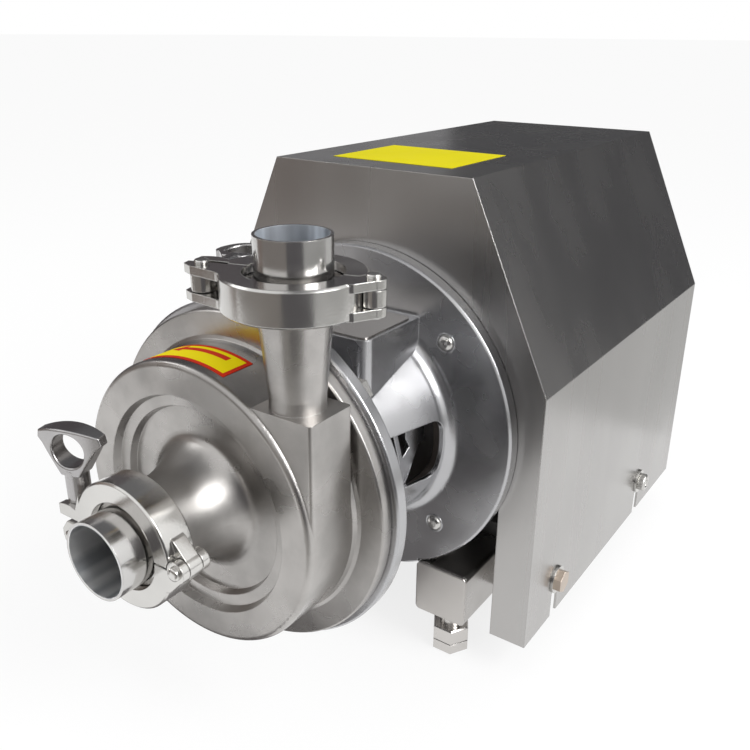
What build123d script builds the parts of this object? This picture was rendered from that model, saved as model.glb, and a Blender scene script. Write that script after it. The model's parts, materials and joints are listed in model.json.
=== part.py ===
from build123d import *
import math
import os

os.makedirs("parts", exist_ok=True)

# Sanitary centrifugal pump with a clamped inlet and outlet, close coupled to a shrouded motor.
# Millimetres. While it is drawn, X is to the right, Y runs from the inlet to the motor's rear
# with 0 at the front of the shroud, and Z is up with 0 on the shaft's axis. Each piece is moved
# to the stored frame when it is saved: origin on the floor, under the middle of the whole pump.

# Pipe ports with clamp ferrules, 38.1 mm tube at the inlet and 33.7 mm tube at the outlet
inlet_tube_radius = 19.05
inlet_tube_wall = 1.5
outlet_tube_radius = 16.85
outlet_tube_wall = 1.6
ferrule_radius = 25.25
ferrule_rim = 1.5
ferrule_slope = 20.0
gasket_thickness = 1.6
inlet_stub = 21.7
outlet_stub = 22.6

# Heavy single-pin clamps
clamp_radius = 31.5
clamp_half_width = 7.9
clamp_bore = 21.8
clamp_chamfer = 0.9
seat_clearance = 0.3
half_gap = 0.5
hinge_reach = 35.0
inlet_eye_reach = 37.5
inlet_eye_drop = 8.5
inlet_fork_tip = 6.0
outlet_eye_reach = 41.0
outlet_eye_drop = 3.6
outlet_fork_tip = 7.6
pin_radius = 2.2
knuckle_radius = 5.2
tongue_half_width = 3.6
fork_gap_half = 3.95
eye_bolt_radius = 3.4
ear_top = 9.0
ear_bottom = 2.2
ear_length = 6.2
slot_clearance = 0.45
nut_barrel_radius = 5.7
nut_barrel_length = 16.5
wing_overlap = 2.5
wing_height = 24.0
wing_half_width = 17.5
wing_middle_half = 5.5
wing_end_half = 2.3
wing_hole_radius = 8.6
wing_edge_round = 1.0
inlet_nut_turn = 17.0
outlet_clamp_turn = 16.5

# Pump head
casing_radius = 74.8
casing_front = -148.0
casing_wall = 4.5
casing_corner = 3.0
casing_flange_step = 15.5
casing_flange_front = -113.6
joint_plane = -106.0
back_plate_step = 5.7
back_plate_thickness = 5.8
o_ring_radius = 1.5
recess_radius = 58.0
recess_depth = 9.0
hub_base_radius = 31.0
hub_collar_radius = 23.0
inlet_clamp_plane = -183.0
outlet_offset = 56.0
outlet_depth = -131.0
outlet_block_top = 62.8
outlet_block_half = 14.6
outlet_clamp_height = 116.6
neck_base_radius = 12.9
neck_bore = 10.0
neck_wall = 2.5
impeller_radius = 58.0
impeller_disc = 4.0
impeller_gap = 3.0
blade_count = 5
blade_thickness = 3.2
casing_bolt_step = 10.2
casing_bolt_radius = 4.0
casing_bolt_flats = 13.0
casing_bolt_head = 5.3

# Lantern between the pump head and the motor
lantern_front_step = 3.6
lantern_front_thickness = 8.0
lantern_disc_radius = 103.5
lantern_disc_front = -9.0
panel_clearance = 0.4
lantern_rear_radius = 63.5
lantern_nose_radius = 45.5
lantern_wall = 5.0
pad_half_width = 42.0
pad_front = -60.0
pad_top = 68.5
pad_corner = 6.0
window_top = 14.0
window_bottom = -23.0
window_rear = -14.5
window_front = -82.0
web_inner = 48.5
web_thickness = 3.0
web_outline = [(-49.0, 18.0), (-15.0, 18.0), (-15.6, 2.9), (-14.3, -2.6), (-20.5, -2.2), (-32.9, -21.3),
               (-36.0, -27.0), (-46.0, -27.0), (-40.5, -8.0)]
web_hole = [(-43.0, 11.0), (-35.0, 11.0), (-34.9, 5.8), (-30.7, -0.7), (-37.8, -5.0)]
flange_bolt_circle = 82.5
flange_bolt_radius = 5.0
flange_bolt_turn = -1.4
flange_bolt_flats = 16.0
flange_bolt_head = 6.4
flange_bolt_room = 13.5

# Motor, frame size 90, with the large 165 mm flange
shaft_height = 90.0
motor_flange_radius = 100.0
motor_flange_thickness = 11.0
spigot_radius = 65.0
spigot_length = 3.5
shaft_radius = 12.0
shaft_extension = 50.0
bearing_bore_radius = 12.5
bearing_outer_radius = 26.0
bearing_width = 15.0
frame_radius = 74.0
frame_wall = 7.0
frame_length = 178.0
fin_height = 8.0
fin_thickness = 2.4
fin_count = 40
stator_inner_radius = 42.0
stator_length = 90.0
air_gap = 0.35
foot_hole_spacing_x = 140.0
foot_hole_spacing_y = 100.0
foot_hole_from_flange = 56.0
motor_foot_thickness = 10.0
motor_foot_edge = 16.0
motor_bolt_flats = 13.0
motor_bolt_head = 5.5
motor_nut_height = 6.5
cowl_wall = 1.5
cowl_length = 64.0
fan_radius = 66.0
fan_blades = 7
terminal_box_half_width = 46.0
terminal_box_length = 92.0
terminal_box_top = 126.0
terminal_lid_thickness = 8.0

# Base frame and feet
rail_size = 35.0
rail_wall = 2.5
rail_offset = 64.3
rail_front = -11.8
rail_rear = 266.0
rail_corner = 3.0
cap_thickness = 2.0
member_front = 42.0
member_rear = 197.0
member_size = 25.0
member_wall = 2.0
member_raise = 2.5
foot_front = 5.0
foot_rear = 249.0
foot_drop = 31.0
foot_bolt_radius = 7.0
foot_head_height = 7.5
foot_head_flats = 22.0
lock_nut_height = 10.0
foot_boss_radius = 11.0
foot_boss_height = 14.0
slide_clearance = 0.05

# Shroud
shroud_half_width = 118.0
shroud_flat_half = 66.8
shroud_length = 280.0
shroud_top = 146.2
shroud_shoulder = 33.9
shroud_bottom = -131.2
shroud_wall = 1.5
cutout_half = 94.5
side_bolt_radius = 4.0
side_slot_half = 4.5
side_bolt_flats = 13.0
side_bolt_head = 4.2
cap_bolt_radius = 6.5
cap_bolt_head = 5.3
cap_socket_flats = 6.0
washer_radius = 9.0
washer_thickness = 1.6
label_thickness = 0.2

# Values worked out from the ones above
inlet_bore = inlet_tube_radius - inlet_tube_wall
outlet_bore = outlet_tube_radius - outlet_tube_wall
gasket_half = gasket_thickness / 2
slope = math.tan(math.radians(ferrule_slope))
inlet_ferrule_depth = ferrule_rim + (ferrule_radius - inlet_tube_radius) * slope
outlet_ferrule_depth = ferrule_rim + (ferrule_radius - outlet_tube_radius) * slope
casing_inner = casing_radius - casing_wall
back_plate_radius = casing_inner + back_plate_step
casing_flange_radius = casing_radius + casing_flange_step
casing_bolt_circle = casing_radius + casing_bolt_step
lantern_front_radius = casing_flange_radius + lantern_front_step
back_plate_front = joint_plane - back_plate_thickness
lantern_front_rear = joint_plane + lantern_front_thickness
panel_rear = shroud_wall
motor_face = panel_rear + 0.7
motor_flange_rear = motor_face + motor_flange_thickness
frame_front = motor_flange_rear + 9.0
frame_rear = frame_front + frame_length
stator_middle = (frame_front + frame_rear) / 2
rail_top = -shaft_height
rail_bottom = rail_top - rail_size
rail_middle = rail_top - rail_size / 2
floor = rail_bottom - foot_drop
side_bolt_height = rail_middle + member_raise
inlet_end = inlet_clamp_plane - gasket_half - inlet_stub
outlet_end = outlet_clamp_height + gasket_half + outlet_stub
middle_y = (inlet_end + shroud_length) / 2


def turned(points):
    """Solid of revolution about Y from (radius, y) corners."""
    return revolve(make_face(Polyline(*points, close=True)), Axis.Y)


def rod(radius, start, end, x=0.0, z=0.0):
    """Round bar along Y."""
    return Pos(x, (start + end) / 2, z) * Rot(90, 0, 0) * Cylinder(radius, end - start)


def post(radius, bottom, top, x=0.0, y=0.0):
    """Round bar along Z."""
    return Pos(x, y, (bottom + top) / 2) * Cylinder(radius, top - bottom)


def pin_x(radius, start, end, y=0.0, z=0.0):
    """Round bar along X."""
    return Pos((start + end) / 2, y, z) * Rot(0, 90, 0) * Cylinder(radius, end - start)


def block(low, high):
    """Box between two corners."""
    size = [b - a for a, b in zip(low, high)]
    centre = [(a + b) / 2 for a, b in zip(low, high)]
    return Pos(*centre) * Box(*size)


def hex_prism(flats, height):
    """Hexagon of the given width across flats, from z 0 up."""
    return extrude(RegularPolygon(flats / 2, 6, major_radius=False), height)


def around(shape, radius, angles):
    """Copies of a shape drawn at the axis, set on a circle about Y."""
    turns = [math.radians(angle) for angle in angles]
    return [Pos(radius * math.cos(turn), 0, radius * math.sin(turn)) * shape for turn in turns]


def join(pieces):
    """One solid from several that overlap."""
    whole = pieces[0]
    for piece in pieces[1:]:
        whole = whole + piece
    return whole


def mirrored(shape):
    """The same piece on the other side, across X."""
    return mirror(shape, about=Plane.YZ)


def save(node, pieces):
    """Moves a piece or a group of pieces to the stored frame and writes its file."""
    if not isinstance(pieces, list):
        pieces = [pieces]
    solids = []
    for piece in pieces:
        solids += list((Pos(0, -middle_y, -floor) * piece).solids())
    shape = solids[0] if len(solids) == 1 else Compound(children=solids)
    export_step(shape, f"parts/{node}.step")


# Base rails, one each side, square tube with a closed end piece at each end
def rail_section(size):
    return RectangleRounded(size, size, rail_corner * size / rail_size)


def rail(x):
    plane = Plane(origin=(x, rail_front + cap_thickness, rail_middle), x_dir=(1, 0, 0), z_dir=(0, 1, 0))
    length = rail_rear - rail_front - 2 * cap_thickness
    outer = extrude(plane * rail_section(rail_size), length)
    inner = extrude(plane * rail_section(rail_size - 2 * rail_wall), length)
    tube = outer - inner
    for y in (foot_front, foot_rear):
        tube -= post(foot_boss_radius, rail_bottom - 1, rail_bottom + rail_wall + 1, x, y)
    for y in motor_foot_rows:
        side = foot_hole_spacing_x / 2 if x > 0 else -foot_hole_spacing_x / 2
        tube -= post(motor_bolt_radius, rail_top - rail_wall - 1, rail_top + 1, side, y)
    return tube


def rail_cap(x, y):
    plane = Plane(origin=(x, y, rail_middle), x_dir=(1, 0, 0), z_dir=(0, 1, 0))
    cap = extrude(plane * rail_section(rail_size), cap_thickness)
    face = cap.faces().sort_by(Axis.Y)[0 if y < foot_front else -1]
    return chamfer(face.edges(), cap_thickness / 4)


motor_bolt_radius = 4.0
motor_foot_rows = [motor_face + foot_hole_from_flange, motor_face + foot_hole_from_flange + foot_hole_spacing_y]
save("right_rail", rail(rail_offset))
save("left_rail", rail(-rail_offset))
save("rail_end_caps", [rail_cap(x, y) for x in (-rail_offset, rail_offset)
                       for y in (rail_front, rail_rear - cap_thickness)])


# Cross members between the rails, and short brackets that reach out to the shroud
def tube_across(start, end, y):
    outer = block((start, y - member_size / 2, side_bolt_height - member_size / 2),
                  (end, y + member_size / 2, side_bolt_height + member_size / 2))
    inner = block((start - 1, y - member_size / 2 + member_wall, side_bolt_height - member_size / 2 + member_wall),
                  (end + 1, y + member_size / 2 - member_wall, side_bolt_height + member_size / 2 - member_wall))
    return outer - inner


rail_inner_face = rail_offset - rail_size / 2
rail_outer_face = rail_offset + rail_size / 2
bracket_end = shroud_half_width - shroud_wall - seat_clearance
bracket_plate = 6.0
side_bolt_end = bracket_end - bracket_plate - 6.0


def bracket(y):
    tube = tube_across(rail_outer_face, bracket_end - bracket_plate, y)
    plate = block((bracket_end - bracket_plate, y - member_size / 2, side_bolt_height - member_size / 2),
                  (bracket_end, y + member_size / 2, side_bolt_height + member_size / 2))
    hole = pin_x(side_bolt_radius, bracket_end - bracket_plate - 1, bracket_end + 1, y, side_bolt_height)
    return tube + plate - hole


save("cross_members", [tube_across(-rail_inner_face, rail_inner_face, y) for y in (member_front, member_rear)])
save("shroud_brackets", [piece for y in (member_front, member_rear) for piece in (bracket(y), mirrored(bracket(y)))])

# Threaded bosses in the rails, and the levelling feet with their lock nuts
foot_boss_top = rail_bottom + foot_boss_height
foot_bolt_top = foot_boss_top + 3.0
lock_nut_bottom = floor + foot_head_height + 0.5
boss = post(foot_boss_radius, rail_bottom, foot_boss_top)
boss -= post(foot_bolt_radius + slide_clearance, rail_bottom - 1, foot_boss_top + 1)
foot_bolt = Pos(0, 0, floor) * hex_prism(foot_head_flats, foot_head_height)
foot_bolt = chamfer(foot_bolt.faces().sort_by(Axis.Z)[0].edges(), 0.8)
foot_bolt += post(foot_bolt_radius, floor + foot_head_height, foot_bolt_top)
lock_nut = Pos(0, 0, lock_nut_bottom) * hex_prism(foot_head_flats, lock_nut_height)
lock_nut = chamfer(lock_nut.faces().sort_by(Axis.Z)[-1].edges(), 0.8)
lock_nut -= post(foot_bolt_radius, lock_nut_bottom - 1, lock_nut_bottom + lock_nut_height + 1)
foot_places = {
    "front_right": (rail_offset, foot_front),
    "front_left": (-rail_offset, foot_front),
    "rear_right": (rail_offset, foot_rear),
    "rear_left": (-rail_offset, foot_rear),
}
save("foot_bosses", [Pos(x, y, 0) * boss for x, y in foot_places.values()])
for corner, (x, y) in foot_places.items():
    save(f"foot_bolt_{corner}", Pos(x, y, 0) * foot_bolt)
    save(f"lock_nut_{corner}", Pos(x, y, 0) * lock_nut)

# Motor frame: a finned barrel on two long feet
frame_inner = frame_radius - frame_wall
foot_pad_inner = frame_radius * 0.55
foot_pad_outer = foot_hole_spacing_x / 2 + motor_foot_edge


def motor_frame():
    barrel = rod(frame_radius, frame_front, frame_rear)
    fins = []
    for index in range(fin_count):
        angle = 360.0 * index / fin_count + 180.0 / fin_count
        on_foot = 215.0 < angle < 325.0
        under_box = 55.0 < angle < 125.0
        if on_foot or under_box:
            continue
        fin = block((frame_radius - 2, frame_front + 6, -fin_thickness / 2),
                    (frame_radius + fin_height, frame_rear - 6, fin_thickness / 2))
        fins.append(Rot(0, -angle, 0) * fin)
    barrel = join([barrel] + fins)
    for side in (-1, 1):
        pad = block((min(side * foot_pad_inner, side * foot_pad_outer), motor_foot_rows[0] - 16, rail_top),
                    (max(side * foot_pad_inner, side * foot_pad_outer), motor_foot_rows[1] + 16,
                     rail_top + motor_foot_thickness))
        barrel += pad
        for y in motor_foot_rows:
            inner = side * frame_radius * 0.6
            outer = side * (foot_hole_spacing_x / 2 - 12.0)
            web = block((min(inner, outer), y - 12, rail_top), (max(inner, outer), y + 12, -frame_radius * 0.62))
            barrel += web
        for y in motor_foot_rows:
            barrel -= post(motor_bolt_radius + 0.5, rail_top - 1, rail_top + motor_foot_thickness + 1,
                           side * foot_hole_spacing_x / 2, y)
    seat = block((-terminal_box_half_width, stator_middle - terminal_box_length / 2, 0),
                 (terminal_box_half_width, stator_middle + terminal_box_length / 2, frame_radius + fin_height))
    barrel += seat
    return barrel - rod(frame_inner, frame_front - 1, frame_rear + 1)


save("motor_frame", motor_frame())


# Motor end shields, each with a bearing seat
def front_shield():
    seat_end = motor_flange_rear + bearing_width + 2
    profile = [
        (shaft_radius + 2, motor_face - spigot_length),
        (spigot_radius, motor_face - spigot_length),
        (spigot_radius, motor_face),
        (motor_flange_radius, motor_face),
        (motor_flange_radius, motor_flange_rear),
        (flange_bolt_circle - flange_bolt_room, motor_flange_rear),
        (flange_bolt_circle - flange_bolt_room, frame_front - 2),
        (frame_radius + 1, frame_front),
        (frame_inner - seat_clearance, frame_front),
        (frame_inner - seat_clearance, frame_front + 5),
        (frame_inner - 6, frame_front + 5),
        (frame_inner - 8, motor_flange_rear + 1),
        (bearing_outer_radius + 12, motor_flange_rear + 1),
        (bearing_outer_radius + 6, seat_end),
        (bearing_outer_radius, seat_end),
        (bearing_outer_radius, motor_flange_rear + 2),
        (shaft_radius + 2, motor_flange_rear + 2),
    ]
    shield = turned(profile)
    hole = rod(flange_bolt_radius + 0.5, motor_face - 1, motor_flange_rear + 1)
    for cut in around(hole, flange_bolt_circle, flange_bolt_angles):
        shield -= cut
    return shield


def rear_shield():
    profile = [
        (bearing_outer_radius, frame_rear - 9),
        (bearing_outer_radius + 6, frame_rear - 9),
        (bearing_outer_radius + 12, frame_rear + 3),
        (frame_inner - 8, frame_rear + 3),
        (frame_inner - 6, frame_rear - 5),
        (frame_inner - seat_clearance, frame_rear - 5),
        (frame_inner - seat_clearance, frame_rear),
        (frame_radius, frame_rear),
        (frame_radius - 4, frame_rear + 8),
        (bearing_outer_radius + 8, frame_rear + 10),
        (shaft_radius + 1, frame_rear + 10),
        (shaft_radius + 1, frame_rear - 9 + bearing_width),
        (bearing_outer_radius, frame_rear - 9 + bearing_width),
    ]
    return turned(profile)


flange_bolt_angles = [45.0 + flange_bolt_turn + 90.0 * k for k in range(4)]
save("motor_front_shield", front_shield())
save("motor_rear_shield", rear_shield())

# Bearings, alike at both ends
front_bearing_start = motor_flange_rear + 2
rear_bearing_start = frame_rear - 9


def bearing(start):
    race = (bearing_outer_radius - bearing_bore_radius) * 0.3
    inner_top = bearing_bore_radius + race
    outer_low = bearing_outer_radius - race
    end = start + bearing_width
    inset = 0.8
    return turned([
        (bearing_bore_radius + 0.02, start),
        (inner_top, start),
        (inner_top, start + inset),
        (outer_low, start + inset),
        (outer_low, start),
        (bearing_outer_radius, start),
        (bearing_outer_radius, end),
        (outer_low, end),
        (outer_low, end - inset),
        (inner_top, end - inset),
        (inner_top, end),
        (bearing_bore_radius + 0.02, end),
    ])


save("motor_bearings", [bearing(front_bearing_start), bearing(rear_bearing_start)])

# Stator core with its end windings, and the rotor on the motor shaft
stator_front = stator_middle - stator_length / 2
stator_rear = stator_middle + stator_length / 2
winding_length = 18.0
rotor_radius = stator_inner_radius - air_gap
rotor_shaft_radius = shaft_radius + 4.0
shoulder_length = 4.0


def ring(outer, inner, start, end):
    return rod(outer, start, end) - rod(inner, start - 1, end + 1)


core = ring(frame_inner, stator_inner_radius, stator_front, stator_rear)
winding_outer = frame_inner - 6.0
winding_inner = stator_inner_radius + 4.0
save("stator", [
    core,
    ring(winding_outer, winding_inner, stator_front - winding_length, stator_front),
    ring(winding_outer, winding_inner, stator_rear, stator_rear + winding_length),
])
save("rotor_core", ring(rotor_radius, rotor_shaft_radius, stator_front - 3, stator_rear + 3))
fan_start = frame_rear + 16.0
fan_hub_length = 20.0
fan_seat_radius = shaft_radius - 1.5
save("motor_shaft", turned([
    (0, motor_face - shaft_extension),
    (shaft_radius - 1, motor_face - shaft_extension),
    (shaft_radius, motor_face - shaft_extension + 1),
    (shaft_radius, front_bearing_start),
    (bearing_bore_radius, front_bearing_start),
    (bearing_bore_radius, front_bearing_start + bearing_width),
    (bearing_bore_radius + 2, front_bearing_start + bearing_width + 0.1),
    (bearing_bore_radius + 2, front_bearing_start + bearing_width + shoulder_length),
    (rotor_shaft_radius, front_bearing_start + bearing_width + shoulder_length),
    (rotor_shaft_radius, rear_bearing_start - shoulder_length),
    (bearing_bore_radius + 2, rear_bearing_start - shoulder_length),
    (bearing_bore_radius + 2, rear_bearing_start - 0.1),
    (bearing_bore_radius, rear_bearing_start),
    (bearing_bore_radius, rear_bearing_start + bearing_width),
    (fan_seat_radius, rear_bearing_start + bearing_width),
    (fan_seat_radius, fan_start + fan_hub_length + 2),
    (0, fan_start + fan_hub_length + 2),
]))


# Cooling fan on the shaft's rear end, under its cowl
def cooling_fan():
    fan = ring(fan_seat_radius + 7, fan_seat_radius, fan_start, fan_start + fan_hub_length)
    fan += ring(fan_radius * 0.72, fan_seat_radius, fan_start, fan_start + 3)
    for index in range(fan_blades):
        blade = block((fan_seat_radius + 5, fan_start, -1.2), (fan_radius, fan_start + fan_hub_length, 1.2))
        fan += Rot(0, 360.0 * index / fan_blades, 0) * blade
    return fan


cowl_start = frame_rear - 14.0
cowl_end = cowl_start + cowl_length


def fan_cowl():
    seat_radius = frame_radius + fin_height + 0.2
    outer = seat_radius + cowl_wall
    cowl = turned([
        (seat_radius, cowl_start),
        (outer, cowl_start),
        (outer, cowl_end - 8),
        (outer - 8, cowl_end),
        (0, cowl_end),
        (0, cowl_end - cowl_wall),
        (seat_radius - 8, cowl_end - cowl_wall),
        (seat_radius, cowl_end - 8 - cowl_wall),
    ])
    for circle, slots in ((22.0, 8), (38.0, 12), (54.0, 16)):
        slot_width = 2 * math.pi * circle / slots * 0.62
        slot = block((circle - 4.5, cowl_end - cowl_wall - 1, -slot_width / 2),
                     (circle + 4.5, cowl_end + 1, slot_width / 2))
        for index in range(slots):
            cowl -= Rot(0, 360.0 * index / slots, 0) * slot
    return cowl


save("cooling_fan", cooling_fan())
save("fan_cowl", fan_cowl())


# Terminal box on top of the motor, with its lid and cable gland
def terminal_box():
    low = (-terminal_box_half_width, stator_middle - terminal_box_length / 2, frame_radius + fin_height)
    high = (terminal_box_half_width, stator_middle + terminal_box_length / 2, terminal_box_top)
    box = fillet(block(low, high).edges().filter_by(Axis.Z), 6)
    hollow = block((low[0] + 3, low[1] + 3, low[2] + 4), (high[0] - 3, high[1] - 3, high[2] + 1))
    bore = pin_x(gland_radius, high[0] - 5, high[0] + 1, stator_middle, gland_height)
    return box - hollow - bore


gland_radius = 8.0
gland_height = frame_radius + fin_height + (terminal_box_top - frame_radius - fin_height) / 2
lid = block((-terminal_box_half_width, stator_middle - terminal_box_length / 2, terminal_box_top),
            (terminal_box_half_width, stator_middle + terminal_box_length / 2, terminal_box_top + terminal_lid_thickness))
lid = fillet(lid.edges().filter_by(Axis.Z), 6)
lid = chamfer(lid.faces().sort_by(Axis.Z)[-1].edges(), 2)
gland = pin_x(gland_radius, terminal_box_half_width - 3, terminal_box_half_width, stator_middle, gland_height)
gland_body = Pos(terminal_box_half_width, stator_middle, gland_height) * Rot(0, 90, 0) * hex_prism(24, 8)
gland_dome = pin_x(10, terminal_box_half_width + 8, terminal_box_half_width + 20, stator_middle, gland_height)
gland_hole = pin_x(4.5, terminal_box_half_width - 4, terminal_box_half_width + 21, stator_middle, gland_height)
save("terminal_box", terminal_box())
save("terminal_box_lid", lid)
save("cable_gland", gland + gland_body + gland_dome - gland_hole)

# Bolts that hold the motor's feet to the rails
motor_bolt = post(motor_bolt_radius, rail_top - rail_wall - motor_nut_height + 0.5, rail_top + motor_foot_thickness)
motor_bolt += Pos(0, 0, rail_top + motor_foot_thickness) * hex_prism(motor_bolt_flats, motor_bolt_head)
motor_nut_bottom = rail_top - rail_wall - motor_nut_height
motor_nut = Pos(0, 0, motor_nut_bottom) * Rot(0, 0, 30) * hex_prism(motor_bolt_flats, motor_nut_height)
motor_nut -= post(motor_bolt_radius, motor_nut_bottom - 1, rail_top)
motor_bolts = [Pos(side * foot_hole_spacing_x / 2, y, 0) * motor_bolt for side in (-1, 1) for y in motor_foot_rows]
motor_nuts = [Pos(side * foot_hole_spacing_x / 2, y, 0) * motor_nut for side in (-1, 1) for y in motor_foot_rows]
save("motor_foot_bolts", motor_bolts + motor_nuts)

# Lantern: front ring, tapered body with side windows, top pad, disc bolted to the motor
disc_rear = -panel_clearance
spring_collar_front = -88.0


def lantern():
    rear_fillet = 8.0
    front_fillet = 6.0
    nose = lantern_front_rear
    outer = make_face(
        Polyline((0, joint_plane), (lantern_front_radius - 1, joint_plane), (lantern_front_radius, joint_plane + 1),
                 (lantern_front_radius, nose - 1), (lantern_front_radius - 1, nose),
                 (lantern_nose_radius + front_fillet, nose))
        + ThreePointArc((lantern_nose_radius + front_fillet, nose),
                        (lantern_nose_radius + front_fillet * 0.3, nose + front_fillet * 0.3),
                        (lantern_nose_radius, nose + front_fillet))
        + Line((lantern_nose_radius, nose + front_fillet), (lantern_rear_radius, lantern_disc_front - rear_fillet))
        + ThreePointArc((lantern_rear_radius, lantern_disc_front - rear_fillet),
                        (lantern_rear_radius + rear_fillet * 0.3, lantern_disc_front - rear_fillet * 0.3),
                        (lantern_rear_radius + rear_fillet, lantern_disc_front))
        + Polyline((lantern_rear_radius + rear_fillet, lantern_disc_front),
                   (lantern_disc_radius - 1.2, lantern_disc_front),
                   (lantern_disc_radius, lantern_disc_front + 1.2), (lantern_disc_radius, disc_rear),
                   (cutout_half - 2.5, disc_rear), (cutout_half - 2.5, motor_face), (0, motor_face),
                   (0, joint_plane))
    )
    body = revolve(outer, Axis.Y)
    web_plane = Plane(origin=(web_inner, 0, 0), x_dir=(0, 1, 0), z_dir=(1, 0, 0))
    web_face = make_face(Polyline(*web_outline, close=True)) - make_face(Polyline(*web_hole, close=True))
    web = extrude(web_plane * web_face, web_thickness) & body
    pad = block((-pad_half_width, pad_front, 0), (pad_half_width, lantern_disc_front + 1, pad_top))
    pad = fillet(pad.edges().filter_by(Axis.Z).group_by(Axis.Y)[0], pad_corner)
    body += pad
    inner = turned([
        (0, joint_plane - 1),
        (lantern_mouth_radius, joint_plane - 1),
        (lantern_mouth_radius, nose),
        (lantern_nose_radius - lantern_wall, nose + 2),
        (lantern_rear_radius - lantern_wall, lantern_disc_front),
        (spigot_radius - 8, motor_face - spigot_length - 0.5),
        (spigot_radius + 0.1, motor_face - spigot_length - 0.5),
        (spigot_radius + 0.1, motor_face + 1),
        (0, motor_face + 1),
    ])
    body -= inner
    plane = Plane(origin=(-lantern_disc_radius, (window_front + window_rear) / 2, (window_top + window_bottom) / 2),
                  x_dir=(0, 1, 0), z_dir=(1, 0, 0))
    window = extrude(plane * RectangleRounded(window_rear - window_front, window_top - window_bottom, 7),
                     2 * lantern_disc_radius)
    body -= window
    body += web
    tapped = rod(flange_bolt_radius, lantern_disc_front - 1, motor_face + 1)
    for cut in around(tapped, flange_bolt_circle, flange_bolt_angles):
        body -= cut
    for x in (-rail_offset, rail_offset):
        body -= block((x - rail_size / 2 - 0.5, lantern_disc_front - 1, floor),
                      (x + rail_size / 2 + 0.5, motor_face + 1, rail_top + 0.5))
    through = rod(casing_bolt_radius + 0.4, joint_plane - 1, lantern_front_rear + 1)
    for cut in around(through, casing_bolt_circle, casing_bolt_angles):
        body -= cut
    return body


lantern_mouth_radius = 40.0
casing_bolt_angles = [43.0 + 90.0 * k for k in range(4)]
save("lantern", lantern())
plate_margin = 2.5
plate_thickness = 0.8
pad_plate = block((-pad_half_width + plate_margin, pad_front + plate_margin, pad_top),
                  (pad_half_width - plate_margin, lantern_disc_front - plate_margin - 1.5, pad_top + plate_thickness))
save("lantern_pad_plate", fillet(pad_plate.edges().filter_by(Axis.Z), pad_corner - plate_margin))

# Screws from behind the motor flange into the lantern disc, with domed ends that show in front
bolt_head_start = motor_flange_rear
flange_bolt = rod(flange_bolt_radius, lantern_disc_front - 0.2, bolt_head_start)
flange_bolt += Pos(0, bolt_head_start, 0) * Rot(-90, 0, 0) * hex_prism(flange_bolt_flats, flange_bolt_head)
flange_bolt += turned([(0, lantern_disc_front - 2.4), (2.4, lantern_disc_front - 2.1),
                       (3.9, lantern_disc_front - 1.2), (flange_bolt_radius - 0.4, lantern_disc_front - 0.2),
                       (0, lantern_disc_front)])
save("lantern_bolts", around(flange_bolt, flange_bolt_circle, flange_bolt_angles))


# Volute casing: drum, front wall with an inlet hub, outlet block and neck, both casing ferrules
def casing_outer():
    hub_end = inlet_clamp_plane + gasket_half + inlet_ferrule_depth
    floor_y = casing_front + recess_depth
    corner = casing_corner
    arc_inset = corner * (1 - math.sqrt(0.5))
    profile = (
        Polyline((0, inlet_clamp_plane + gasket_half), (ferrule_radius, inlet_clamp_plane + gasket_half),
                 (ferrule_radius, inlet_clamp_plane + gasket_half + ferrule_rim),
                 (inlet_tube_radius, hub_end), (inlet_tube_radius, hub_end + 2.5),
                 (hub_collar_radius - 1, hub_end + 4.0), (hub_collar_radius, hub_end + 5.0),
                 (hub_collar_radius, hub_end + 8.0))
        + Spline((hub_collar_radius, hub_end + 8.0), (hub_collar_radius + 2.0, casing_front - 6.0),
                 (hub_base_radius, floor_y - 3.0), (hub_base_radius + 6.0, floor_y),
                 tangents=((0, 1), (1, 0)))
        + Polyline((hub_base_radius + 6.0, floor_y), (recess_radius - 8.4, floor_y),
                   (recess_radius - 7.2, floor_y - 4.0), (recess_radius - 1.6, floor_y - 4.6),
                   (recess_radius, casing_front), (casing_radius - corner, casing_front))
        + ThreePointArc((casing_radius - corner, casing_front), (casing_radius - arc_inset, casing_front + arc_inset),
                        (casing_radius, casing_front + corner))
        + Polyline((casing_radius, casing_front + corner), (casing_radius, casing_flange_front - 3.0),
                   (casing_radius + 1.2, casing_flange_front - 0.8), (casing_radius + 3.0, casing_flange_front),
                   (casing_flange_radius - 0.8, casing_flange_front),
                   (casing_flange_radius, casing_flange_front + 0.8),
                   (casing_flange_radius, joint_plane - 1.0), (casing_flange_radius - 1.0, joint_plane),
                   (0, joint_plane), (0, inlet_clamp_plane + gasket_half))
    )
    return revolve(make_face(profile), Axis.Y)


def outlet_outer():
    ferrule_back = outlet_clamp_height - gasket_half - outlet_ferrule_depth
    column = block((outlet_offset - casing_radius * 0.6, outlet_depth - outlet_block_half, 0),
                   (casing_radius, outlet_depth + outlet_block_half, outlet_block_top))
    edges = column.edges().filter_by(Axis.Z).group_by(Axis.X)[-1]
    column = fillet(edges, 2.0) - rod(casing_inner, casing_front, joint_plane)
    neck = revolve(make_face(Polyline(
        (0, outlet_block_top - 4), (neck_base_radius, outlet_block_top - 4),
        (neck_base_radius, outlet_block_top + 6), (outlet_tube_radius, ferrule_back),
        (ferrule_radius, outlet_clamp_height - gasket_half - ferrule_rim),
        (ferrule_radius, outlet_clamp_height - gasket_half), (0, outlet_clamp_height - gasket_half),
        close=True)), Axis.Y)
    neck = Pos(outlet_offset, outlet_depth, 0) * Rot(90, 0, 0) * neck
    return column + neck


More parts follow.
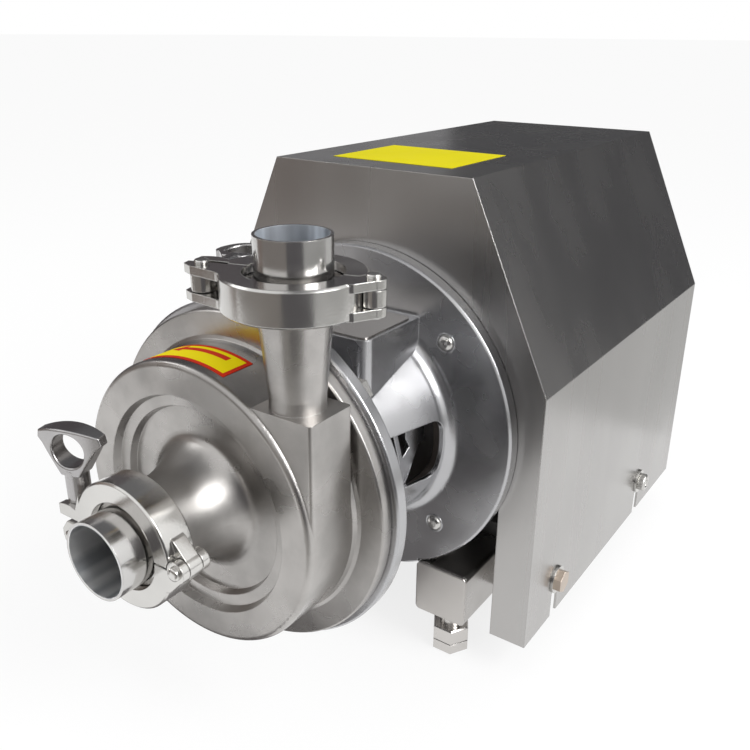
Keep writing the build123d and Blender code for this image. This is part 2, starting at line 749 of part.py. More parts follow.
def casing_inner_space():
    floor_y = casing_front + recess_depth + 4.8
    return turned([
        (0, inlet_clamp_plane + gasket_half - 1),
        (inlet_bore, inlet_clamp_plane + gasket_half - 1),
        (inlet_bore, floor_y - 9.0),
        (inlet_bore + 4.0, floor_y),
        (recess_radius - 8.0, floor_y),
        (recess_radius - 4.0, casing_front + casing_wall + 1.5),
        (casing_inner - 1.5, casing_front + casing_wall + 1.5),
        (casing_inner, casing_front + casing_wall + 3.0),
        (casing_inner, back_plate_front),
        (back_plate_radius + 0.1, back_plate_front),
        (back_plate_radius + 0.1, joint_plane + 1),
        (0, joint_plane + 1),
    ])


def outlet_passage():
    low = post(neck_bore, outlet_block_top * 0.2, outlet_block_top + 7, outlet_offset, outlet_depth)
    top = outlet_clamp_height - gasket_half
    taper = revolve(make_face(Polyline(
        (0, outlet_block_top + 6), (neck_bore, outlet_block_top + 6),
        (outlet_tube_radius - neck_wall, top - outlet_ferrule_depth), (outlet_bore, top - 0.2),
        (outlet_bore, top + 1), (0, top + 1), close=True)), Axis.Y)
    return low + Pos(outlet_offset, outlet_depth, 0) * Rot(90, 0, 0) * taper


o_ring = Pos(0, back_plate_front, 0) * Rot(90, 0, 0) * Torus((casing_inner + back_plate_radius) / 2, o_ring_radius)


def volute_casing():
    casing = casing_outer() + outlet_outer()
    casing -= casing_inner_space()
    casing -= outlet_passage()
    casing -= o_ring
    tapped = rod(casing_bolt_radius, casing_flange_front + 1.6, joint_plane + 1)
    for cut in around(tapped, casing_bolt_circle, casing_bolt_angles):
        casing -= cut
    return casing


save("volute_casing", volute_casing())

# Casing bolts, heads behind the lantern's front ring
casing_bolt = rod(casing_bolt_radius, casing_flange_front + 1.6, lantern_front_rear)
casing_bolt += Pos(0, lantern_front_rear, 0) * Rot(-90, 0, 0) * hex_prism(casing_bolt_flats, casing_bolt_head)
save("casing_bolts", around(casing_bolt, casing_bolt_circle, casing_bolt_angles))

# Back plate in the casing's mouth, with its sealing ring and the fixed seal seat
seal_bore = 12.6
seat_outer = 18.2
plate = turned([
    (seat_outer - 3, back_plate_front),
    (back_plate_radius, back_plate_front),
    (back_plate_radius, joint_plane),
    (lantern_mouth_radius - 0.2, joint_plane),
    (lantern_mouth_radius - 0.2, joint_plane + 4),
    (seat_outer, joint_plane + 4),
    (seat_outer, back_plate_front + 2),
    (seat_outer - 3, back_plate_front + 2),
])
save("back_plate", plate - o_ring)
save("casing_o_ring", o_ring)
save("seal_seat", ring(seat_outer, seal_bore, back_plate_front + 2, joint_plane + 4.5))

# Pump shaft: sleeve over the motor shaft, seal collar, impeller seat and thread
impeller_back = back_plate_front - impeller_gap
impeller_bore = 9.0
blade_front = casing_front + recess_depth + 4.8 + 1.2
hub_front = blade_front + 3.0
thread_radius = 6.0
sleeve_radius = 20.0
sleeve_rear = lantern_disc_front - 4.0
sleeve_front = motor_face - shaft_extension - 8.0
nut_front = hub_front - 12.0
pump_shaft = turned([
    (0, nut_front + 5.0),
    (thread_radius, nut_front + 5.0),
    (thread_radius, hub_front),
    (impeller_bore, hub_front),
    (impeller_bore, impeller_back),
    (shaft_radius, impeller_back),
    (shaft_radius, spring_collar_front),
    (sleeve_radius - 2, spring_collar_front),
    (sleeve_radius - 2, spring_collar_front + 5),
    (shaft_radius + 2, spring_collar_front + 5),
    (shaft_radius + 2, sleeve_front - 6),
    (sleeve_radius, sleeve_front),
    (sleeve_radius, sleeve_rear),
    (shaft_radius, sleeve_rear),
    (shaft_radius, motor_face - shaft_extension),
    (0, motor_face - shaft_extension),
])
set_screw_radius = 3.0
set_screw_rows = [sleeve_rear - 10.0, sleeve_rear - 24.0]
set_screws = []
for y in set_screw_rows:
    for turn in (0, 90):
        screw = pin_x(set_screw_radius, shaft_radius, sleeve_radius + 0.6, y)
        set_screws.append(Rot(0, turn, 0) * screw)
        pump_shaft -= Rot(0, turn, 0) * pin_x(set_screw_radius, shaft_radius - 2, sleeve_radius + 2, y)
save("pump_shaft", pump_shaft)
save("shaft_set_screws", set_screws)


# Impeller with curved open blades, held by a cap nut
def impeller():
    disc = ring(impeller_radius, impeller_bore, impeller_back - impeller_disc, impeller_back)
    hub = turned([
        (impeller_bore, impeller_back),
        (18, impeller_back - impeller_disc),
        (13, hub_front),
        (impeller_bore, hub_front),
    ])
    wheel = disc + hub
    start_radius = 15.0
    plane = Plane(origin=(0, impeller_back, 0), x_dir=(1, 0, 0), z_dir=(0, -1, 0))
    sweep_angle = 62.0
    end_point = (impeller_radius * math.cos(math.radians(sweep_angle)),
                 impeller_radius * math.sin(math.radians(sweep_angle)))
    mid_angle = math.radians(sweep_angle * 0.36)
    mid_radius = (start_radius + impeller_radius) / 2
    mid_point = (mid_radius * math.cos(mid_angle), mid_radius * math.sin(mid_angle))
    arc = ThreePointArc((start_radius, 0), mid_point, end_point)
    outline = trace_band(arc, blade_thickness)
    blade = extrude(plane * outline, impeller_back - blade_front)
    for index in range(blade_count):
        wheel += Rot(0, 360.0 * index / blade_count, 0) * blade
    limit = ring(impeller_radius, impeller_bore, blade_front, impeller_back)
    return wheel & limit


def trace_band(arc, width):
    """Band of even width along an arc, from two offset arcs."""
    centre = arc.arc_center
    radius = arc.radius
    start = arc @ 0
    middle = arc @ 0.5
    end = arc @ 1

    def at(point, reach):
        direction = (point - centre).normalized()
        return centre + direction * reach

    outer = radius + width / 2
    inner = radius - width / 2
    band = (ThreePointArc(at(start, outer), at(middle, outer), at(end, outer))
            + Line(at(end, outer), at(end, inner))
            + ThreePointArc(at(end, inner), at(middle, inner), at(start, inner))
            + Line(at(start, inner), at(start, outer)))
    return make_face(band)


save("impeller", impeller())
cap_nut = Pos(0, hub_front, 0) * Rot(90, 0, 0) * hex_prism(19, 7)
cap_nut += turned([(0, nut_front), (4, nut_front + 0.8), (7.6, nut_front + 3.4), (8.8, hub_front - 6), (0, hub_front - 6)])
cap_nut -= rod(thread_radius, nut_front + 5.0, hub_front + 1)
save("impeller_nut", cap_nut)

# Rotating half of the shaft seal and its spring
seal_ring_front = joint_plane + 4.5 + 0.05
seal_ring_rear = seal_ring_front + 6.0
spring_wire = 1.1
spring_radius = shaft_radius + 2.6
save("seal_ring", ring(seat_outer - 1.5, shaft_radius, seal_ring_front, seal_ring_rear))
spring_span = spring_collar_front - seal_ring_rear - 2 * spring_wire
coil = Helix(pitch=spring_span / 2.0, height=spring_span, radius=spring_radius)
coil_section = Plane(origin=coil @ 0, z_dir=coil % 0) * Circle(spring_wire)
spring = Pos(0, seal_ring_rear + spring_wire, 0) * Rot(-90, 0, 0) * sweep(coil_section, path=coil)
save("seal_spring", spring)


# Ferrule with a stub of tube, drawn up from its clamp plane along Y
def stub_ferrule(tube_radius, bore, depth, length):
    profile = [
        (bore, gasket_half),
        (ferrule_radius, gasket_half),
        (ferrule_radius, gasket_half + ferrule_rim),
        (tube_radius, gasket_half + depth),
        (tube_radius, gasket_half + length),
        (bore, gasket_half + length),
    ]
    return turned(profile)


inlet_place = Pos(0, inlet_clamp_plane, 0) * Rot(180, 0, 0)
outlet_place = Pos(outlet_offset, outlet_depth, outlet_clamp_height) * Rot(90, 0, 0)
inlet_gasket = ring(ferrule_radius, inlet_bore, -gasket_half, gasket_half)
outlet_gasket = ring(ferrule_radius, outlet_bore, -gasket_half, gasket_half)
save("inlet_ferrule", inlet_place * stub_ferrule(inlet_tube_radius, inlet_bore, inlet_ferrule_depth, inlet_stub))
save("outlet_ferrule", outlet_place * stub_ferrule(outlet_tube_radius, outlet_bore, outlet_ferrule_depth, outlet_stub))
save("clamp_gaskets", [inlet_place * inlet_gasket, outlet_place * outlet_gasket])


# Clamp, drawn flat: hinge towards +X, eye bolt towards -X, moving half above, pipe along Z
def clamp_ring():
    lip = gasket_half + ferrule_rim + seat_clearance
    mouth = lip + (ferrule_radius + seat_clearance - clamp_bore) * slope
    top = clamp_half_width
    bevel = clamp_chamfer
    profile = make_face(Polyline(
        (clamp_bore, mouth), (ferrule_radius + seat_clearance, lip), (ferrule_radius + seat_clearance, -lip),
        (clamp_bore, -mouth), (clamp_bore, -top), (clamp_radius - bevel, -top), (clamp_radius, -top + bevel),
        (clamp_radius, top - bevel), (clamp_radius - bevel, top), (clamp_bore, top), close=True))
    return Rot(90, 0, 0) * revolve(profile, Axis.Y)


def slab(outline, low, high):
    """Flat piece from an outline, between two heights."""
    return Pos(0, 0, low) * extrude(outline, high - low)


def both_sides(outline, low, high):
    return slab(outline, low, high) + slab(outline, -high, -low)


knuckle_neck = clamp_bore + 6.0


def hinge_outline(side):
    arm = make_face(Polyline(
        (knuckle_neck, side * 13.0), (clamp_radius - 1.0, side * 12.0), (hinge_reach + knuckle_radius - 0.8, side * 2.5),
        (hinge_reach, 0), (hinge_reach - knuckle_radius, side * half_gap), (knuckle_neck, side * half_gap), close=True))
    return arm + Pos(hinge_reach, 0) * Circle(knuckle_radius)


def fixed_half(eye_reach, eye_drop, fork_tip):
    half = clamp_ring() & block((-60, -60, -20), (60, -half_gap, 20))
    relief = slab(Pos(hinge_reach, 0) * Circle(knuckle_radius + seat_clearance), -fork_gap_half, fork_gap_half)
    half += both_sides(hinge_outline(-1), fork_gap_half, clamp_half_width)
    half -= relief
    fork = make_face(Polyline(
        (-knuckle_neck, -half_gap - 0.4), (-knuckle_neck, -15.0), (-clamp_radius + 2, -14.0),
        (-eye_reach - 3.0, -eye_drop - 5.0), (-eye_reach - fork_tip, -eye_drop - 1.6),
        (-eye_reach - fork_tip, -eye_drop + 2.4), (-eye_reach - fork_tip + 4.0, -half_gap - 0.4), close=True))
    half += both_sides(fork, fork_gap_half, clamp_half_width)
    for x, y in ((hinge_reach, 0), (-eye_reach, -eye_drop)):
        half -= slab(Pos(x, y) * Circle(pin_radius), -20, 20)
    return half - slab(Pos(-eye_reach, -eye_drop) * Circle(knuckle_radius + 1.0), -fork_gap_half, fork_gap_half)


def moving_half(eye_reach, eye_drop):
    half = clamp_ring() & block((-60, half_gap, -20), (60, 60, 20))
    half -= both_sides(Pos(hinge_reach, 0) * Circle(knuckle_radius + 0.6), fork_gap_half - 0.3, 20)
    half += slab(hinge_outline(1), -tongue_half_width, tongue_half_width)
    half -= slab(Pos(hinge_reach, 0) * Circle(pin_radius + slide_clearance), -20, 20)
    ear = make_face(Polyline(
        (-knuckle_neck, ear_bottom), (-eye_reach - ear_length, ear_bottom), (-eye_reach - ear_length, ear_top + 4),
        (-knuckle_neck, ear_top + 12.0), close=True))
    under_seat = Pos(-eye_reach, -eye_drop) * Circle(ear_top + eye_drop - 0.1)
    body_side = make_face(Polyline(
        (-knuckle_neck, ear_bottom), (-clamp_radius - 2.0, ear_bottom), (-clamp_radius - 0.2, ear_top - 1.5),
        (-knuckle_neck, ear_top + 8.0), close=True))
    ear = (ear & under_seat) + body_side
    half += slab(ear, -clamp_half_width, clamp_half_width)
    slot_half = eye_bolt_radius + slot_clearance
    slot = block((-eye_reach - 20, ear_bottom - 3, -slot_half), (-eye_reach + slot_half, ear_top + 20, slot_half))
    return half - slot


def clamp_pins(eye_reach, eye_drop):
    pins = []
    for x, y in ((hinge_reach, 0), (-eye_reach, -eye_drop)):
        shank = slab(Pos(x, y) * Circle(pin_radius), -clamp_half_width, clamp_half_width)
        head = slab(Pos(x, y) * Circle(pin_radius + 1.1), clamp_half_width, clamp_half_width + 1.0)
        foot = slab(Pos(x, y) * Circle(pin_radius + 1.1), -clamp_half_width - 1.0, -clamp_half_width)
        pins.append(shank + head + foot)
    return pins


bolt_end = ear_top + nut_barrel_length - 2.5


def eye_bolt(eye_reach, eye_drop):
    eye = slab(Pos(-eye_reach, -eye_drop) * Circle(knuckle_radius), -tongue_half_width, tongue_half_width)
    bolt = eye + rod(eye_bolt_radius, -eye_drop, bolt_end, -eye_reach)
    return bolt - slab(Pos(-eye_reach, -eye_drop) * Circle(pin_radius + slide_clearance), -20, 20)


def wing_nut(eye_reach, turn):
    barrel_top = ear_top + nut_barrel_length
    low = barrel_top - wing_overlap
    top = low + wing_height
    wide = wing_half_width
    plate = make_face(
        Polyline((-5.0, low), (-wide + 3.0, top - 9.5), (-wide, top - 7.0), (-wide + 1.0, top - 3.0))
        + ThreePointArc((-wide + 1.0, top - 3.0), (0, top), (wide - 1.0, top - 3.0))
        + Polyline((wide - 1.0, top - 3.0), (wide, top - 7.0), (wide - 3.0, top - 9.5), (5.0, low), (-5.0, low)))
    lens_plane = Plane(origin=(0, low - 1, 0), x_dir=(1, 0, 0), z_dir=(0, 1, 0))
    lens = make_face(
        ThreePointArc((-wide - 1, wing_end_half), (0, wing_middle_half), (wide + 1, wing_end_half))
        + Line((wide + 1, wing_end_half), (wide + 1, -wing_end_half))
        + ThreePointArc((wide + 1, -wing_end_half), (0, -wing_middle_half), (-wide - 1, -wing_end_half))
        + Line((-wide - 1, -wing_end_half), (-wide - 1, wing_end_half)))
    wings = slab(plate, -wing_middle_half, wing_middle_half) & extrude(lens_plane * lens, wing_height + 2)
    hole = Pos(0, (low + top) / 2 + 1.0) * Circle(wing_hole_radius)
    wings -= slab(hole, -wing_middle_half - 1, wing_middle_half + 1)
    wings = fillet(wings.edges(), wing_edge_round)
    thread_hole = rod(eye_bolt_radius + slide_clearance, ear_top - 1, bolt_end + 0.5)
    nut = rod(nut_barrel_radius, ear_top, barrel_top) + wings - thread_hole
    return Pos(-eye_reach, 0, 0) * Rot(0, turn, 0) * nut


def clamp_pieces(name, place, eye_reach, eye_drop, fork_tip, nut_turn):
    save(f"{name}_clamp_fixed_half", place * fixed_half(eye_reach, eye_drop, fork_tip))
    save(f"{name}_clamp_moving_half", place * moving_half(eye_reach, eye_drop))
    save(f"{name}_clamp_pins", [place * pin for pin in clamp_pins(eye_reach, eye_drop)])
    save(f"{name}_eye_bolt", place * eye_bolt(eye_reach, eye_drop))
    save(f"{name}_wing_nut", place * wing_nut(eye_reach, nut_turn))


inlet_clamp_place = Plane(origin=(0, inlet_clamp_plane, 0), x_dir=(1, 0, 0), z_dir=(0, -1, 0)).location
clamp_turn = math.radians(outlet_clamp_turn)
outlet_clamp_place = Plane(origin=(outlet_offset, outlet_depth, outlet_clamp_height),
                           x_dir=(math.cos(clamp_turn), math.sin(clamp_turn), 0), z_dir=(0, 0, 1)).location
clamp_pieces("inlet", inlet_clamp_place, inlet_eye_reach, inlet_eye_drop, inlet_fork_tip, inlet_nut_turn)
clamp_pieces("outlet", outlet_clamp_place, outlet_eye_reach, outlet_eye_drop, outlet_fork_tip, 0.0)


# Shroud: folded roof and sides, front panel with an arched cut-out, vented rear panel
def shroud_outline(inset):
    lean = math.hypot(shroud_half_width - shroud_flat_half, shroud_top - shroud_shoulder)
    run = (shroud_half_width - shroud_flat_half) / lean
    rise = (shroud_top - shroud_shoulder) / lean
    half = shroud_half_width - inset
    flat = shroud_flat_half - inset * (1 - run) / rise
    shoulder = shroud_shoulder - inset * (1 - rise) / run
    top = shroud_top - inset
    return Polyline((-half, shroud_bottom), (-half, shoulder), (-flat, top), (flat, top), (half, shoulder),
                    (half, shroud_bottom), close=True)


def shroud():
    plane = Plane(origin=(0, 0, 0), x_dir=(1, 0, 0), z_dir=(0, -1, 0))
    outer = extrude(plane * make_face(shroud_outline(0)), -shroud_length)
    inner = Pos(0, shroud_wall, 0) * extrude(plane * make_face(shroud_outline(shroud_wall)),
                                             -(shroud_length - 2 * shroud_wall))
    shell = outer - inner
    shell -= rod(cutout_half, -1, shroud_wall + 1)
    shell -= block((-cutout_half, -1, shroud_bottom - 1), (cutout_half, shroud_wall + 1, 0))
    rear_edge = rail_top + 6.0
    shell -= block((-rail_outer_face - 6, shroud_length - shroud_wall - 1, shroud_bottom - 1),
                   (rail_outer_face + 6, shroud_length + 1, rear_edge))
    for row in range(vent_rows):
        z = vent_low + row * vent_pitch
        for side in (-1, 1):
            slot = block((min(side * 8.0, side * (8.0 + vent_length)), shroud_length - shroud_wall - 1, z - 2.5),
                         (max(side * 8.0, side * (8.0 + vent_length)), shroud_length + 1, z + 2.5))
            shell -= slot
    for y in (member_front, member_rear):
        slot = block((-shroud_half_width - 1, y - side_slot_half, shroud_bottom - 1),
                     (shroud_half_width + 1, y + side_slot_half, side_bolt_height))
        arch = pin_x(side_slot_half, -shroud_half_width - 1, shroud_half_width + 1, y, side_bolt_height)
        keep = block((-rail_outer_face, y - 20, shroud_bottom - 2), (rail_outer_face, y + 20, 0))
        shell -= (slot + arch) - keep
    return shell


vent_rows = 9
vent_pitch = 13.0
vent_low = -52.0
vent_length = 56.0
save("shroud", shroud())

# Shroud bolts, hexagon heads in front and socket caps at the rear, each on a washer
washer_face = shroud_half_width + 0.1
head_face = washer_face + washer_thickness
washer = pin_x(washer_radius, washer_face, head_face) - pin_x(side_bolt_radius, washer_face - 1, head_face + 1)
shank = pin_x(side_bolt_radius, side_bolt_end, head_face)
hex_bolt = shank + Pos(head_face, 0, 0) * Rot(0, 90, 0) * hex_prism(side_bolt_flats, side_bolt_head)
cap_bolt = shank + pin_x(cap_bolt_radius, head_face, head_face + cap_bolt_head)
socket_floor = head_face + cap_bolt_head - 3.3
cap_bolt -= Pos(socket_floor, 0, 0) * Rot(0, 90, 0) * hex_prism(cap_socket_flats, cap_bolt_head)


def on_both_sides(piece, y):
    placed = Pos(0, y, side_bolt_height) * piece
    return [placed, mirrored(placed)]


save("shroud_washers", on_both_sides(washer, member_front) + on_both_sides(washer, member_rear))
save("shroud_hex_bolts", on_both_sides(hex_bolt, member_front))
save("shroud_cap_bolts", on_both_sides(cap_bolt, member_rear))

# Stickers: one on the shroud's roof, one bent round the casing's drum
label_half_width = 41.0
label_front = 22.0
label_length = 66.0
roof_label = block((-label_half_width, label_front, shroud_top),
                   (label_half_width, label_front + label_length, shroud_top + label_thickness))
save("shroud_label", roof_label)
drum_label_low = 73.3
drum_label_high = 115.4
drum_label_front = -142.0
drum_label_rear = -122.0
band = turned([(casing_radius, drum_label_front), (casing_radius + label_thickness, drum_label_front),
               (casing_radius + label_thickness, drum_label_rear), (casing_radius, drum_label_rear)])
reach = 3 * casing_radius


def ray(angle):
    return (reach * math.cos(math.radians(angle)), reach * math.sin(math.radians(angle)))


wedge_plane = Plane(origin=(0, drum_label_front - 1, 0), x_dir=(1, 0, 0), z_dir=(0, -1, 0))
wedge = extrude(wedge_plane * make_face(Polyline((0, 0), ray(drum_label_low), ray(drum_label_high), close=True)),
                -(drum_label_rear - drum_label_front + 2))
save("direction_label", band & wedge)
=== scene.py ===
"""Sanitary centrifugal pump: finishes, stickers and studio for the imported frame."""

import json
import math

import bpy
import numpy as np
from mathutils import Matrix

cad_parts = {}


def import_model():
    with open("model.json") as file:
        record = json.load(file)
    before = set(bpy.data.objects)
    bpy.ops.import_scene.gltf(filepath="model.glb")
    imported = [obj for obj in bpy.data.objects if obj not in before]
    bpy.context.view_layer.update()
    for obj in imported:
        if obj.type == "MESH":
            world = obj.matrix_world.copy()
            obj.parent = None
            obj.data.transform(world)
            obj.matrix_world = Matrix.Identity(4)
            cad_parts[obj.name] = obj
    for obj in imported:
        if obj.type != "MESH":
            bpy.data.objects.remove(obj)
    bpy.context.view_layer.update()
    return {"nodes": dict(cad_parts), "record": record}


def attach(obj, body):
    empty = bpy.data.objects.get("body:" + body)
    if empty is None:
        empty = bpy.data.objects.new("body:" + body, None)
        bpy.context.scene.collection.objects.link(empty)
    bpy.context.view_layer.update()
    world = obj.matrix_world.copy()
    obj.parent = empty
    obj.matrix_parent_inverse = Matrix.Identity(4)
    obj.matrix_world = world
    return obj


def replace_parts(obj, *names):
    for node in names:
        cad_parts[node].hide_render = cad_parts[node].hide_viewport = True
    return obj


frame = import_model()
nodes = frame["nodes"]

# The drawing's origin is where the shaft's axis meets the shroud's front panel, in metres
AXIS_HEIGHT = 0.156
PANEL_FRONT = -0.03725
DRAWING_ORIGIN = np.array([0.0, PANEL_FRONT, AXIS_HEIGHT])

# Bores in metres, and the outlet's place in the drawing's millimetres
INLET_BORE = 0.01755
OUTLET_BORE = 0.01525
OUTLET_OFFSET, OUTLET_DEPTH = 56.0, -131.0


# Materials: every finish is a Principled shader fed by noise on Object coordinates. Clouds, smears, grain and
# bands are given as waves per metre, and depths and edges in metres
NOISE_ROUGHNESS = 0.55
BEVEL_SAMPLES = 4
TONE_LOW, TONE_HIGH = 0.3, 0.7


def emptied(owner):
    """The node tree of a material or a world, with no nodes in it."""
    owner.use_nodes = True
    owner.node_tree.nodes.clear()
    return owner.node_tree


def empty_material(name):
    """A material with its output alone, and the socket that takes its surface."""
    material = bpy.data.materials.new(name)
    tree = emptied(material)
    output = tree.nodes.new("ShaderNodeOutputMaterial")
    return material, tree, output.inputs["Surface"]


def principled(name):
    """A material with its Principled shader."""
    material, tree, surface = empty_material(name)
    shader = tree.nodes.new("ShaderNodeBsdfPrincipled")
    tree.links.new(shader.outputs["BSDF"], surface)
    return material, tree, shader


def noise(tree, scale, stretch=(1, 1, 1), detail=2.0):
    """Noise on Object coordinates, drawn out along an axis where stretch is small."""
    coordinates = tree.nodes.new("ShaderNodeTexCoord")
    mapping = tree.nodes.new("ShaderNodeMapping")
    mapping.inputs["Scale"].default_value = stretch
    texture = tree.nodes.new("ShaderNodeTexNoise")
    texture.inputs["Scale"].default_value = scale
    texture.inputs["Detail"].default_value = detail
    texture.inputs["Roughness"].default_value = NOISE_ROUGHNESS
    tree.links.new(coordinates.outputs["Object"], mapping.inputs["Vector"])
    tree.links.new(mapping.outputs["Vector"], texture.inputs["Vector"])
    return texture.outputs["Fac"]


def ramp(tree, factor, low, high, start=TONE_LOW, end=TONE_HIGH):
    """Smooth change from low to high, two greys or two colours, as the factor goes from start to end."""
    node = tree.nodes.new("ShaderNodeValToRGB")
    node.color_ramp.interpolation = "EASE"
    for element, position, tone in zip(node.color_ramp.elements, (start, end), (low, high)):
        element.position = position
        element.color = (*tone, 1.0) if isinstance(tone, tuple) else (tone, tone, tone, 1.0)
    tree.links.new(factor, node.inputs["Fac"])
    return node.outputs["Color"]


def tint(colour, gain):
    """A colour made lighter or darker by a factor."""
    return tuple(min(1.0, channel * gain) for channel in colour)


def clouded(tree, colour, cloud, patch, socket):
    """A colour that drifts lighter and darker by the share cloud, in patch clouds per metre."""
    clouds = noise(tree, patch, detail=5.0)
    tree.links.new(ramp(tree, clouds, tint(colour, 1 - cloud), tint(colour, 1 + cloud)), socket)


def rounded_edges(tree, edge):
    """Normal of edges that look rounded."""
    bevel = tree.nodes.new("ShaderNodeBevel")
    bevel.samples = BEVEL_SAMPLES
    bevel.inputs["Radius"].default_value = edge
    return bevel.outputs["Normal"]


def bumped(tree, height, strength, distance, normal):
    """Normal with a bump from a height on it."""
    bump = tree.nodes.new("ShaderNodeBump")
    bump.inputs["Strength"].default_value = strength
    bump.inputs["Distance"].default_value = distance
    tree.links.new(height, bump.inputs["Height"])
    tree.links.new(normal, bump.inputs["Normal"])
    return bump.outputs["Normal"]


STEEL_SMEARS = 26.0
STEEL_BUMP = 0.5


def steel(name, colour, rough, cloud=0.06, patch=9.0, spread=0.05, grain=900.0, grain_depth=0.00004,
          stretch=(1, 1, 1), edge=0.0006):
    """Stainless steel: cloudy tint, uneven roughness and a fine grain, drawn out where the steel is brushed.

    A grain_depth of 0 leaves the grain out, on faces too smooth for one.
    """
    material, tree, shader = principled(name)
    shader.inputs["Metallic"].default_value = 1.0
    clouded(tree, colour, cloud, patch, shader.inputs["Base Color"])
    smears = noise(tree, STEEL_SMEARS, stretch, detail=3.0)
    tree.links.new(ramp(tree, smears, rough - spread, rough + spread), shader.inputs["Roughness"])
    normal = rounded_edges(tree, edge)
    if grain_depth > 0:
        normal = bumped(tree, noise(tree, grain, stretch), STEEL_BUMP, grain_depth, normal)
    tree.links.new(normal, shader.inputs["Normal"])
    return material


PLAIN_CLOUDS, PLAIN_SMEARS = 14.0, 40.0
PLAIN_SPREAD = 0.06
PLAIN_GRAIN, PLAIN_GRAIN_DEPTH = 700.0, 0.00003
PLAIN_BUMP = 0.4


def plain(name, colour, rough, cloud=0.08, metallic=0.0, edge=0.0005, shine=0.5):
    """Paint, cast aluminium, plastic or rubber with a faint cloud and a fine grain."""
    material, tree, shader = principled(name)
    shader.inputs["Metallic"].default_value = metallic
    shader.inputs["Specular IOR Level"].default_value = shine
    clouded(tree, colour, cloud, PLAIN_CLOUDS, shader.inputs["Base Color"])
    smears = noise(tree, PLAIN_SMEARS, detail=4.0)
    roughness = ramp(tree, smears, rough - PLAIN_SPREAD, rough + PLAIN_SPREAD)
    tree.links.new(roughness, shader.inputs["Roughness"])
    grain = noise(tree, PLAIN_GRAIN)
    normal = bumped(tree, grain, PLAIN_BUMP, PLAIN_GRAIN_DEPTH, rounded_edges(tree, edge))
    tree.links.new(normal, shader.inputs["Normal"])
    return material


def worked_out(tree, operation, *values):
    """Result of a math operation on numbers and sockets."""
    node = tree.nodes.new("ShaderNodeMath")
    node.operation = operation
    for socket, value in zip(node.inputs, values):
        if isinstance(value, float):
            socket.default_value = value
        else:
            tree.links.new(value, socket)
    return node.outputs[0]


def distance_from_axis(tree, centre, axis):
    """Distance from a line through centre along Y or Z, and the Object coordinates that it is taken from."""
    coordinates = tree.nodes.new("ShaderNodeTexCoord").outputs["Object"]
    across = tree.nodes.new("ShaderNodeMapping")
    scale = (1, 0, 1) if axis == "Y" else (1, 1, 0)
    across.inputs["Scale"].default_value = scale
    across.inputs["Location"].default_value = [-place * keep for place, keep in zip(centre, scale)]
    length = tree.nodes.new("ShaderNodeVectorMath")
    length.operation = "LENGTH"
    tree.links.new(coordinates, across.inputs["Vector"])
    tree.links.new(across.outputs["Vector"], length.inputs[0])
    return length.outputs["Value"], coordinates


def step_up(tree, value, low, high):
    """0 below low, 1 above high, even between them."""
    node = tree.nodes.new("ShaderNodeMapRange")
    node.inputs["From Min"].default_value = low
    node.inputs["From Max"].default_value = high
    tree.links.new(value, node.inputs["Value"])
    return node.outputs["Result"]


def blend(tree, factor, first, second, target):
    """Mix of two colours into a socket: first where the factor is 0, second where it is 1."""
    mix = tree.nodes.new("ShaderNodeMix")
    mix.data_type = "RGBA"
    tree.links.new(factor, mix.inputs["Factor"])
    for index, colour in ((6, first), (7, second)):
        if isinstance(colour, tuple):
            mix.inputs[index].default_value = (*colour, 1)
        else:
            tree.links.new(colour, mix.inputs[index])
    tree.links.new(mix.outputs[2], target)


def inside_painted_light(material, outside, colour, rough):
    """Give the places where outside is 0 a colour of painted light or shade, and a roughness, of their own.
    """
    tree = material.node_tree
    shader = next(node for node in tree.nodes if node.type == "BSDF_PRINCIPLED")
    for socket, inner in (("Base Color", colour), ("Roughness", (rough, rough, rough))):
        outer = shader.inputs[socket].links[0].from_socket
        blend(tree, outside, inner, outer, shader.inputs[socket])


TUBE_STRETCH = 0.02
PAINTED_REFLECTION_BANDS = 75.0
BORE_START, BORE_END = 0.0002, 0.0005
BORE_ROUGH = 0.48


def port(name, centre, axis, bore, inner):
    """Polished ferrule and tube; the bore has a painted reflection, a light blue-grey in bands along the
    axis.
    """
    material = steel(name, (0.60, 0.59, 0.58), 0.17, edge=0.0003)
    tree = material.node_tree
    radius, _ = distance_from_axis(tree, centre, axis)
    along = (1, TUBE_STRETCH, 1) if axis == "Y" else (1, 1, TUBE_STRETCH)
    # Painted reflection: light and dark bands along the bore, on a bore colour lighter than the steel outside
    bands = noise(tree, PAINTED_REFLECTION_BANDS, along)
    painted_reflection_colour = ramp(tree, bands, tint(inner, 0.55), tint(inner, 1.15), start=0.42, end=0.58)
    outside = step_up(tree, radius, bore + BORE_START, bore + BORE_END)
    inside_painted_light(material, outside, painted_reflection_colour, BORE_ROUGH)
    return material


CONE_SLOPE = 0.2069
CONE_INSIDE, CONE_OUTSIDE = 0.0717, 0.0723
WEB_MIDDLE, WEB_HALF = 0.0500, 0.0021


def lantern_casting():
    """Satin casting, dull, and darkened with painted shade inside its hollow, where r - CONE_SLOPE y is under
    CONE_OUTSIDE, apart from the window's web.

    The cone r = CONE_OUTSIDE + CONE_SLOPE y lies in the lantern's wall, with y in the frame's own metres.
    """
    material = steel("lantern_satin", (0.49, 0.49, 0.50), 0.26, grain_depth=0.0, edge=0.0010)
    tree = material.node_tree
    radius, coordinates = distance_from_axis(tree, (0, 0, AXIS_HEIGHT), "Y")
    parts = tree.nodes.new("ShaderNodeSeparateXYZ")
    tree.links.new(coordinates, parts.inputs[0])
    lean = worked_out(tree, "MULTIPLY_ADD", parts.outputs["Y"], -CONE_SLOPE, radius)
    beyond_cone = step_up(tree, lean, CONE_INSIDE, CONE_OUTSIDE)
    at_web = worked_out(tree, "COMPARE", parts.outputs["X"], WEB_MIDDLE, WEB_HALF)
    outside = worked_out(tree, "MAXIMUM", beyond_cone, at_web)
    # Painted shade: a near-black colour on the lantern's inner faces, where the hollow lies in shade
    inside_painted_light(material, outside, (0.07, 0.06, 0.055), 0.6)
    return material


